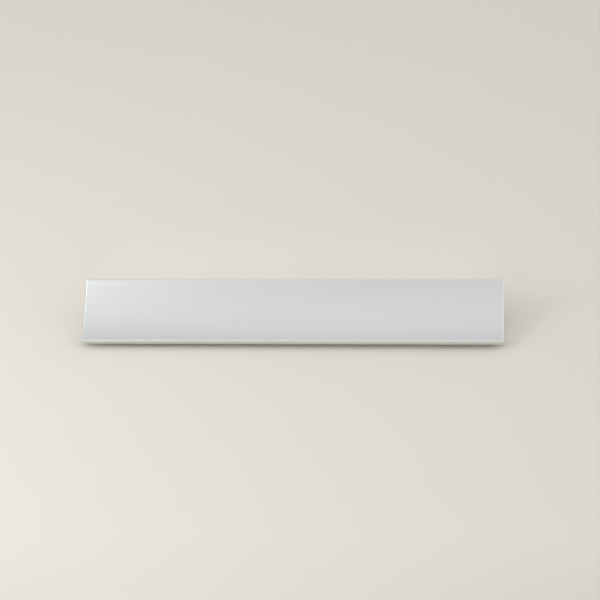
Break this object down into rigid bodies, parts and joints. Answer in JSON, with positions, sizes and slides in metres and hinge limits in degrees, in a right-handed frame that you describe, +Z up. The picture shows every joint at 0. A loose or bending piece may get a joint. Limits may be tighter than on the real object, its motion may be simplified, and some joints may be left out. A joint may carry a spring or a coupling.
{
  "type": "furniture handle",
  "caption": "Slim furniture pull handle cut from curved aluminium profile, with a hollow blade face, a mounting foot and a finger gap behind the far edge.",
  "frame": {"origin": "on the mounting face, midway between the two tapped holes", "axes": "+X along the handle, +Y from the near edge to the far edge, +Z up from the mounting face towards the blade"},
  "size_m": [0.2, 0.0272, 0.022],
  "materials": {
    "anodised_aluminium": "satin anodised, natural silver"
  },
  "bodies": {
    "root": {"handle_profile": "anodised_aluminium"}
  },
  "joints": []
}
